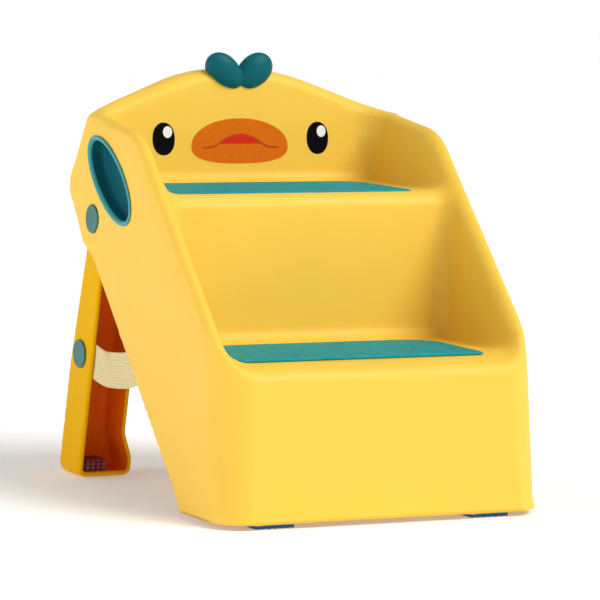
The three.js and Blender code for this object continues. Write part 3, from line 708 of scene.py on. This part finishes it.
def strap_mesh(name, sign):
    """Woven webbing with lengthwise ribs and a fine weft, standing on edge between the leg and the shell."""
    route = [
        (167.7, 391.5, 134.4), (167.7, *STRAP_REAR), (167.0, 366, 130.4), (165.8, 350, 125.4),
        (161.8, 338, 122.0), (157.6, 327, 121.8), (154.6, 312, 123.0), (153, 296, 125.8), (152, 276, 132.2),
        (151.5, 255, 141), (151.3, 232, 152), (151.3, *STRAP_FRONT), (151.3, 205.5, 164.5),
    ]
    line, length = smooth_path(route, 300)
    tangent = np.gradient(line, axis=0)
    tangent /= np.linalg.norm(tangent, axis=1, keepdims=True)
    across = np.cross(tangent, (1.0, 0, 0))
    across /= np.linalg.norm(across, axis=1, keepdims=True)
    across *= np.sign(across[:, 2:3])
    outward = np.cross(across, tangent)
    outward *= np.sign(outward[:, 0:1])
    rows = 57
    points, uvs = [], []
    along = np.linspace(0, length, len(line))
    half_rows = np.linspace(-1, 1, rows)
    for i in range(len(line)):
        # The free middle of the strap is slightly cupped across its width.
        free = math.sin(math.pi * i / (len(line) - 1)) ** 1.5
        loop = []
        for side, order in ((1, half_rows), (-1, half_rows[::-1])):
            for t in order:
                rib = 0.06 * math.cos(2 * math.pi * t * STRAP_HALF / RIB_PITCH)
                weft = 0.05 * math.sin(2 * math.pi * along[i] / 1.5 + (3.14 if int((t + 1) * 12) % 2 else 0))
                edge = max(0.0, 1 - (1 - abs(t)) / 0.04)
                lift = (STRAP_THICK / 2 + rib + weft) * math.sqrt(max(0.0, 1 - edge * edge)) * side
                cup = -1.5 * free * (1 - t * t)
                loop.append(line[i] + across[i] * t * STRAP_HALF + outward[i] * (lift + cup))
                uvs.append((along[i], t * STRAP_HALF))
        points.append(loop)
    rings = [[(sign * q[0], q[1], q[2]) for q in loop][::sign] for loop in points]
    obj = lofted(name, rings)
    flat = np.array(uvs).reshape(len(line), -1, 2)[:, ::sign]
    flat = np.vstack([flat.reshape(-1, 2), [[0, 0], [length, 0]]]) * 0.01
    layer = obj.data.uv_layers.new(name="strap")
    loops = np.empty(len(obj.data.loops), np.int32)
    obj.data.loops.foreach_get("vertex_index", loops)
    layer.data.foreach_set("uv", flat[loops].astype(np.float32).ravel())
    return obj


# ---------- printed face ----------
def on_backrest(px, pz, lift):
    """The point that stands lift millimetres in front of the backrest."""
    return (px, BACKREST_FOOT + BACKREST_LEAN * (pz - STEP_2) - lift, pz)


def printed(name, outline, lift, centre=None):
    """A thin print with a soft edge, from its outline in x and z."""
    outline = np.array(outline, float)
    centre = outline.mean(axis=0) if centre is None else np.array(centre)
    rings = []
    for scale, height in ((1.0, 0.02), (0.998, lift), (0.7, lift), (0.35, lift), (0.05, lift)):
        ring = centre + (outline - centre) * scale
        rings.append([on_backrest(px, pz, height) for px, pz in ring])
    obj = lofted(name, rings)
    obj.data.polygons.foreach_set("use_smooth", [False] * len(obj.data.polygons))
    return obj


def egg(centre, wide, up, down=None, power=2.0, lower_power=None, count=120):
    """A superellipse whose upper and lower halves may differ."""
    points = []
    for i in range(count):
        a = 2 * math.pi * i / count
        c, s = math.cos(a), math.sin(a)
        low = s < 0 and down is not None
        high = down if low else up
        n = lower_power if low and lower_power else power
        r = (abs(c) ** n + abs(s) ** n) ** (-1 / n)
        points.append((centre[0] + wide * r * c, centre[1] + high * r * s))
    return points


def ribbon(path, half_width):
    """The outline of a brush line with round ends along a path."""
    path = np.array(path, float)
    tangent = np.gradient(path, axis=0)
    tangent /= np.linalg.norm(tangent, axis=1, keepdims=True)
    normal = np.stack([-tangent[:, 1], tangent[:, 0]], axis=1)
    t = np.linspace(-1, 1, len(path))
    width = half_width * np.sqrt(np.clip(1 - np.abs(t) ** 14, 0.02, 1))
    return path + normal * width[:, None], path - normal * width[:, None]


def print_line(name, path, half_width, lift):
    """A printed brush line."""
    upper, lower = ribbon(path, half_width)
    points = [on_backrest(*p, lift) for p in upper] + [on_backrest(*p, lift) for p in lower]
    n = len(upper)
    faces = [(i, n + i, n + i + 1, i + 1) for i in range(n - 1)]
    return mesh_object(name, points, faces)


# ---------- materials ----------
def linear(code):
    """A colour in linear light from its six-digit code."""
    values = [int(code[i:i + 2], 16) / 255 for i in (0, 2, 4)]
    return tuple(v / 12.92 if v <= 0.04045 else ((v + 0.055) / 1.055) ** 2.4 for v in values)


class Surface:
    """A Principled material with a few helpers for its nodes."""

    def __init__(self, name, roughness, specular=0.5, metallic=0.0):
        self.material = bpy.data.materials.new(name)
        self.material.use_nodes = True
        self.tree = self.material.node_tree
        self.shader = self.tree.nodes["Principled BSDF"]
        self.shader.inputs["Roughness"].default_value = roughness
        self.shader.inputs["Specular IOR Level"].default_value = specular
        self.shader.inputs["Metallic"].default_value = metallic
        self.place = self.tree.nodes.new("ShaderNodeTexCoord").outputs["Object"]

    def link(self, a, b):
        self.tree.links.new(a, b)

    def noise(self, scale, detail=3.0, place=None, rough=0.55):
        node = self.tree.nodes.new("ShaderNodeTexNoise")
        node.inputs["Scale"].default_value = scale
        node.inputs["Detail"].default_value = detail
        node.inputs["Roughness"].default_value = rough
        self.link(place or self.place, node.inputs["Vector"])
        return node.outputs["Fac"]

    def stretched(self, scale):
        node = self.tree.nodes.new("ShaderNodeMapping")
        node.inputs["Scale"].default_value = scale
        self.link(self.place, node.inputs["Vector"])
        return node.outputs["Vector"]

    def ranged(self, value, low, high, start=0.3, end=0.7):
        node = self.tree.nodes.new("ShaderNodeMapRange")
        for socket, number in zip(("From Min", "From Max", "To Min", "To Max"), (start, end, low, high)):
            node.inputs[socket].default_value = number
        self.link(value, node.inputs["Value"])
        return node.outputs["Result"]

    def math(self, operation, a, b):
        node = self.tree.nodes.new("ShaderNodeMath")
        node.operation = operation
        for socket, value in zip(node.inputs, (a, b)):
            if isinstance(value, (int, float)):
                socket.default_value = value
            else:
                self.link(value, socket)
        return node.outputs["Value"]

    def blended(self, factor, one, two):
        node = self.tree.nodes.new("ShaderNodeMix")
        node.data_type = "RGBA"
        self.link(factor, node.inputs["Factor"])
        for socket, value in ((node.inputs[6], one), (node.inputs[7], two)):
            if isinstance(value, tuple):
                socket.default_value = (*value, 1)
            else:
                self.link(value, socket)
        return node.outputs[2]

    def colour(self, value):
        if isinstance(value, tuple):
            self.shader.inputs["Base Color"].default_value = (*value, 1)
        else:
            self.link(value, self.shader.inputs["Base Color"])

    def rough(self, value):
        self.link(value, self.shader.inputs["Roughness"])

    def bump(self, height, distance, strength=1.0, after=None):
        node = self.tree.nodes.new("ShaderNodeBump")
        node.inputs["Distance"].default_value = distance
        node.inputs["Strength"].default_value = strength
        self.link(height, node.inputs["Height"])
        if after:
            self.link(after, node.inputs["Normal"])
        self.link(node.outputs["Normal"], self.shader.inputs["Normal"])
        return node.outputs["Normal"]


def moulded(name, code, roughness=0.36, tint=0.04, grain=0.00002, specular=0.45):
    """Injection-moulded plastic: faint flow mottling, a fine spark-erosion grain and slight polish."""
    surface = Surface(name, roughness, specular)
    base = np.array(linear(code))
    deep = tuple(base * (1 - tint))
    pale = tuple(np.minimum(base * (1 + tint * 0.6) + tint * 0.04, 1))
    flow = surface.noise(9.0, 4.0, surface.stretched((1, 1, 0.6)))
    surface.colour(surface.blended(surface.ranged(flow, 0, 1), deep, pale))
    patches = surface.noise(26.0, 5.0)
    surface.rough(surface.ranged(patches, roughness - 0.05, roughness + 0.06))
    fine = surface.noise(1500.0, 2.0)
    first = surface.bump(fine, grain, 0.6)
    scuffs = surface.noise(60.0, 6.0, surface.stretched((1, 1, 7)), 0.7)
    surface.bump(surface.ranged(scuffs, 0, 1, 0.62, 0.72), grain * 0.8, 0.3, first)
    return surface.material


def rubbery(name, code, roughness=0.62, grain=0.00005):
    """Matt rubber with a mottled, finely rough surface."""
    surface = Surface(name, roughness, 0.18)
    base = np.array(linear(code))
    mottle = surface.noise(70.0, 6.0)
    surface.colour(surface.blended(surface.ranged(mottle, 0, 1), tuple(base * 0.86), tuple(base * 1.1)))
    surface.rough(surface.ranged(surface.noise(180.0, 3.0), roughness - 0.08, roughness + 0.08))
    surface.bump(surface.noise(2600.0, 3.0), grain, 0.7)
    return surface.material


def woven(name, code):
    """Cream webbing: painted shade between the ribs, with fine yarns across and a little sheen."""
    surface = Surface(name, 0.82, 0.25)
    surface.shader.inputs["Sheen Weight"].default_value = 0.25
    surface.shader.inputs["Sheen Roughness"].default_value = 0.5
    layer = surface.tree.nodes.new("ShaderNodeUVMap")
    layer.uv_map = "strap"
    split = surface.tree.nodes.new("ShaderNodeSeparateXYZ")
    surface.link(layer.outputs["UV"], split.inputs["Vector"])
    along, across = split.outputs["X"], split.outputs["Y"]
    ribs = surface.math("COSINE", surface.math("MULTIPLY", across, 200 * math.pi / RIB_PITCH), 0)
    yarns = surface.math("SINE", surface.math("MULTIPLY", along, 200 * math.pi / 0.9), 0)
    diagonal = surface.math("ADD", along, across)
    twill = surface.math("SINE", surface.math("MULTIPLY", diagonal, 200 * math.pi / 1.3), 0)
    base = np.array(linear(code))
    # Painted shade: the cream is darkened between the lengthwise ribs.
    shade = surface.ranged(ribs, 0, 1, -1, 0.4)
    coloured = surface.blended(shade, tuple(base * (0.90, 0.86, 0.76)), tuple(base))
    fleck = surface.ranged(surface.noise(420.0, 3.0), 0, 1, 0.35, 0.65)
    dimmed = surface.tree.nodes.new("ShaderNodeMix")
    dimmed.data_type = "RGBA"
    dimmed.blend_type = "MULTIPLY"
    dimmed.inputs["Factor"].default_value = 0.16
    surface.link(coloured, dimmed.inputs[6])
    surface.link(fleck, dimmed.inputs[7])
    surface.colour(dimmed.outputs[2])
    height = surface.math("ADD", surface.math("MULTIPLY", yarns, 0.5), surface.math("MULTIPLY", twill, 0.5))
    surface.bump(height, 0.00012, 0.8)
    return surface.material


def plated(name):
    """Zinc-plated steel with turning marks."""
    surface = Surface(name, 0.33, 0.5, 1.0)
    tone = surface.noise(240.0, 4.0)
    surface.colour(surface.blended(surface.ranged(tone, 0, 1), (0.46, 0.46, 0.45), (0.66, 0.66, 0.64)))
    surface.rough(surface.ranged(surface.noise(500.0, 3.0), 0.25, 0.42))
    surface.bump(surface.noise(900.0, 2.0, surface.stretched((8, 1, 1))), 0.00002, 0.5)
    return surface.material


def ink(name, code, roughness=0.4):
    """Flat printed ink of slightly uneven density."""
    surface = Surface(name, roughness, 0.05)
    base = np.array(linear(code))
    density = surface.noise(300.0, 4.0)
    thin, full = tuple(base * 0.95), tuple(np.minimum(base * 1.04, 1))
    surface.colour(surface.blended(surface.ranged(density, 0, 1), thin, full))
    surface.rough(surface.ranged(surface.noise(120.0, 3.0), roughness - 0.04, roughness + 0.05))
    surface.bump(surface.noise(2200.0, 2.0), 0.00001, 0.5)
    return surface.material


yellow = moulded("yellow_plastic", "F6C84A", 0.42, 0.02, specular=0.2)
deep_yellow = moulded("deep_yellow_plastic", "E9B000", 0.46, 0.02, specular=0.03)
# Painted shade: a deep orange that stands in for the shade inside the leg's channels.
channel_shade_orange = moulded("channel_painted_shade", "FF7A08", 0.5, 0.05, specular=0.1)
cup_teal = moulded("cup_plastic", "3A989C", 0.36, 0.04, specular=0.3)
# Painted shade: a dark teal that stands in for the shade inside the grip pocket.
cup_hollow_shade = moulded("cup_hollow_painted_shade", "045A64", 0.42, 0.05, specular=0.1)
cap_teal = moulded("cap_plastic", "447874", 0.4, 0.04, specular=0.15)
tuft_teal = moulded("tuft_plastic", "006068", 0.4, 0.05, specular=0.12)
pad_rubber = rubbery("pad_rubber", "0A969C", 0.6)
blue_rubber = rubbery("foot_rubber", "2868B4")
# Painted shade and painted orange bounce light: the heel block takes the dark mauve-brown that teal rubber
# shows in the channel's shade.
heel_shade_rubber = rubbery("heel_rubber", "8A4A50")
cream = woven("webbing", "F2E2AE")
steel = plated("zinc_steel")
nylon = moulded("nylon", "E9E6DC", 0.5, 0.03)
black_ink = ink("black_ink", "050505", 0.4)
white_ink = ink("white_ink", "F2F0EE", 0.35)
orange_ink = ink("orange_ink", "DC6C0E", 0.42)
mouth_ink = ink("mouth_ink", "C4441A", 0.42)
tongue_ink = ink("tongue_ink", "D52A1A", 0.42)


# ---------- assembly ----------
def place(obj, body, material, slot, *nodes):
    """Gives a piece its material and body, and hides the CAD nodes that it replaces. slot is not used."""
    obj.data.materials.append(material)
    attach(obj, body)
    if nodes:
        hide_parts(*nodes)
    return obj


place(shell, "shell", yellow, "shell_plastic", "front_shell")
place(leg, "leg", deep_yellow, "leg_plastic", "rear_leg")
place(tuft, "shell", tuft_teal, "tuft_plastic", "head_tuft")


def second_material(obj, material, chosen):
    """Faces whose centres, in part millimetres, pass the test get a second material."""
    obj.data.materials.append(material)
    centres = np.empty(len(obj.data.polygons) * 3)
    obj.data.polygons.foreach_get("center", centres)
    centres = centres.reshape(-1, 3) / MM + np.array((0, MIDDLE_Y, 0))
    obj.data.polygons.foreach_set("material_index", chosen(*centres.T).astype(np.int32))


def in_channel(x, y, z):
    """True on the inner faces of the leg's channels, which take the painted shade."""
    reach = np.abs(x)
    front = polygon(reach, z, LEG_FRONT) + LEG_WALL
    side = polygon(y, z, moved(LEG_SIDE, [-AWAY] + [LEG_WALL] * 4))
    lip = polygon(y, z, LEG_SIDE)
    return (np.maximum(front, side) < 0.5) & (lip < -2.0)


# The inner faces of the leg's channels get the deep orange of painted shade.
second_material(leg, channel_shade_orange, in_channel)

for name, height, near, far in PADS:
    place(pad_mesh(f"{name}_ribbed", height, near, far), "shell", pad_rubber, "pad_rubber", name)

for side, sign in SIDES:
    cup = cup_mesh(f"{side}_grip_pocket", sign)
    place(cup, "shell", cup_teal, "cup_plastic", f"{side}_grip_cup")
    # The inner faces of the pocket get the dark teal of painted shade.
    second_material(cup, cup_hollow_shade, lambda x, y, z: np.abs(x) < 179.2)

    def cap(name, centre, profile, body, node):
        disc = turned(f"{side}_{name}", sign, centre, profile)
        place(disc, body, cap_teal, "cap_plastic", f"{side}_{node}")

    def fine_piece(name, centre, field, low, high, reach, body, node, material=steel, slot="steel"):
        obj = small(f"{side}_{name}", sign, centre, field, low, high, reach)
        place(obj, body, material, slot, f"{side}_{node}")

    cap("hinge_cap", PIVOT, bead(177.7, 181.6, 15.1, 1.1, 0.35), "shell", "pivot_cap")
    cap("strap_cap_disc", STRAP_REAR, bead(172.3, 174.6, 15.1, 0.9, 0.3), "leg", "strap_cap")

    bolt = bolt_field(155.4, 175.3, 177.4, 5, 9)
    fine_piece("hinge_bolt", PIVOT, bolt, 155.4, 177.4, 9, "shell", "pivot_bolt")
    bush = ring_field(165.8, 171.8, 5.35, 8.2)
    fine_piece("hinge_bush", PIVOT, bush, 165.8, 171.8, 8.2, "leg", "pivot_bush", nylon, "bush_plastic")
    washer = ring_field(163.7, 165.5, 5.3, 10)
    fine_piece("hinge_washer", PIVOT, washer, 163.7, 165.5, 10, "shell", "pivot_washer")
    nut = nut_field(157.4, 163.4, 15.6, 5.0)
    fine_piece("hinge_nut", PIVOT, nut, 157.4, 163.4, 9.2, "shell", "pivot_nut")

    stud = bolt_field(158.9, 171.4, 172.0, 3.5, 3.6)
    fine_piece("strap_bolt", STRAP_REAR, stud, 158.9, 172.0, 3.7, "leg", "strap_stud")
    washer = ring_field(165.0, 166.4, 3.8, 9)
    fine_piece("strap_end_washer", STRAP_REAR, washer, 165.0, 166.4, 9, "leg", "strap_washer")
    nut = nut_field(160.5, 164.7, 11.1, 3.5)
    fine_piece("strap_end_nut", STRAP_REAR, nut, 160.5, 164.7, 6.6, "leg", "strap_nut")
    plate = plate_field(152.5, 154.1)
    fine_piece("strap_clamp", STRAP_FRONT, plate, 152.5, 154.1, 14.5, "shell", "strap_plate")
    clamp_screw = screw_field(143, 154.3, 157.2, 2.3, 5)
    fine_piece("strap_clamp_screw", STRAP_FRONT, clamp_screw, 143, 157.5, 5.2, "shell", "strap_screw")

    def upright_screw(x, y, z, sign=sign):
        return screw_field(-443.6, -433.0, -430.8, 1.5, 2.8)(-z, x - sign * TUFT_SCREW[0], y - TUFT_SCREW[1])

    low_x, high_x = sign * TUFT_SCREW[0] - 4, sign * TUFT_SCREW[0] + 4
    screw = voxelled(f"{side}_tuft_fixing", upright_screw, (low_x, 367, 429), (high_x, 375.6, 448), 0.3)
    place(screw, "shell", steel, "steel", f"{side}_tuft_screw")

    low_x, high_x = sorted((sign * 98, sign * 144))
    foot = voxelled(f"{side}_front_pad", front_foot_field(sign), (low_x, 8.5, -1), (high_x, 39.5, 11.5), 0.5)
    place(foot, "shell", blue_rubber, "foot_rubber", f"{side}_front_foot")
    low_x, high_x = sorted((sign * 137.5, sign * 170))
    heel = voxelled(f"{side}_heel_block", rear_foot_field(sign), (low_x, 383, -1), (high_x, 418.5, 20.5), 0.5)
    place(heel, "leg", heel_shade_rubber, "heel_rubber", f"{side}_rear_foot")

    strap = strap_mesh(f"{side}_webbing", sign)
    strap.data.materials.append(cream)
    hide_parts(f"{side}_strap")
    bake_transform(strap)

# The printed duck face.
for side, sign in SIDES:
    eye = (sign * 91 - 0.4, 362.6)
    place(printed(f"{side}_eye_print", egg(eye, 12.9, 17.3, power=2.15), 0.25), "shell", black_ink, None)
    glint = egg((eye[0] + 4.5, eye[1] + 7.2), 5.3, 6.2)
    place(printed(f"{side}_eye_glint", glint, 0.35), "shell", white_ink, None)
beak = egg((-2.2, 354.4), 57, 29.6, 18.4, power=2.05, lower_power=2.6, count=200)
place(printed("beak_print", beak, 0.22, (-2.2, 358)), "shell", orange_ink, None)
MOUTH = [(-45.9, 353.2), (-34.5, 353.5), (-27.4, 356.1), (-21.5, 360.0), (-12.6, 364.5), (0.0, 366.8)]
mouth_points = [(px - 1.4, 0, pz) for px, pz in MOUTH] + [(-px - 1.4, 0, pz) for px, pz in MOUTH[-2::-1]]
mouth = smooth_path(mouth_points, 121)[0][:, (0, 2)]
place(print_line("mouth_print", mouth, 1.05, 0.42), "shell", mouth_ink, None)
arch = mouth[mouth[:, 1] > 357.2]
tongue = [*map(tuple, arch), *[(px, 357.0) for px in np.linspace(arch[-1][0], arch[0][0], 40)]]
place(printed("tongue_print", tongue[::-1], 0.32, (-1.4, 360.5)), "shell", tongue_ink, None)


# ---------- stage, light and camera ----------
def floor_material():
    """White, with a slight glow that keeps the floor as pale as the walls."""
    surface = Surface("pale_floor", 0.9, 0.1)
    surface.shader.inputs["Emission Color"].default_value = (1, 1, 1, 1)
    surface.shader.inputs["Emission Strength"].default_value = 0.2
    soft = surface.noise(3.0, 2.0)
    surface.colour(surface.blended(surface.ranged(soft, 0, 1), (0.90, 0.90, 0.90), (0.92, 0.92, 0.92)))
    return surface.material


floor = bpy.data.meshes.new("floor")
floor.from_pydata([(-9, -9, 0), (9, -9, 0), (9, 9, 0), (-9, 9, 0)], [], [(0, 1, 2, 3)])
floor_object = bpy.data.objects.new("floor", floor)
bpy.context.collection.objects.link(floor_object)
floor.materials.append(floor_material())


def soft_light(name, azimuth, elevation, distance, size, power):
    """A square area light that looks at the stool. Azimuth 0 is in front of it and 90 is on its right."""
    data = bpy.data.lights.new(name, "AREA")
    data.size = size
    data.energy = power
    a, e = math.radians(azimuth), math.radians(elevation)
    target = Vector((0, 0, 0.2))
    direction = Vector((math.sin(a) * math.cos(e), -math.cos(a) * math.cos(e), math.sin(e)))
    light = bpy.data.objects.new(name, data)
    bpy.context.collection.objects.link(light)
    light.location = target + direction * distance
    light.rotation_euler = (-direction).to_track_quat("-Z", "Y").to_euler()


def soft_sun(name, azimuth, elevation, spread, strength):
    """A very wide sun, whose shadows are soft all over the stool."""
    data = bpy.data.lights.new(name, "SUN")
    data.angle = math.radians(spread)
    data.energy = strength
    a, e = math.radians(azimuth), math.radians(elevation)
    direction = Vector((math.sin(a) * math.cos(e), -math.cos(a) * math.cos(e), math.sin(e)))
    light = bpy.data.objects.new(name, data)
    bpy.context.collection.objects.link(light)
    light.rotation_euler = (-direction).to_track_quat("-Z", "Y").to_euler()


soft_sun("key", 38, 46, 36, 2.3)
soft_light("side", -100, 12, 2.6, 1.2, 17)

# The studio's walls are bright near the floor and dim overhead.
world = bpy.data.worlds.new("studio")
bpy.context.scene.world = world
world.use_nodes = True
nodes, links = world.node_tree.nodes, world.node_tree.links
way = nodes.new("ShaderNodeTexCoord").outputs["Generated"]
split = nodes.new("ShaderNodeSeparateXYZ")
links.new(way, split.inputs["Vector"])
height = nodes.new("ShaderNodeMapRange")
for socket, number in (("From Min", 0.02), ("From Max", 0.45), ("To Min", 1.0), ("To Max", 0.36)):
    height.inputs[socket].default_value = number
links.new(split.outputs["Z"], height.inputs["Value"])
links.new(height.outputs["Result"], nodes["Background"].inputs["Strength"])
nodes["Background"].inputs["Color"].default_value = (1, 1, 1, 1)

AZIMUTH, ELEVATION, ROLL = (math.radians(v) for v in (-26.49, 5.73, 1.28))
camera_data = bpy.data.cameras.new("camera")
camera_data.sensor_width = 36
camera_data.lens = 238.7034
camera_data.clip_end = 100
camera = bpy.data.objects.new("camera", camera_data)
bpy.context.collection.objects.link(camera)
level = math.cos(ELEVATION)
back = Vector((math.sin(AZIMUTH) * level, -math.cos(AZIMUTH) * level, math.sin(ELEVATION)))
right = Vector((math.cos(AZIMUTH), math.sin(AZIMUTH), 0))
up = back.cross(right)
across = right * math.cos(ROLL) + up * math.sin(ROLL)
upward = up * math.cos(ROLL) - right * math.sin(ROLL)
spot = Vector((-1.83507, -3.69036, 0.61663))
camera.matrix_world = Matrix([(across[i], upward[i], back[i], spot[i]) for i in range(3)] + [(0, 0, 0, 1)])
bpy.context.scene.camera = camera

bpy.context.scene.view_settings.view_transform = "Standard"
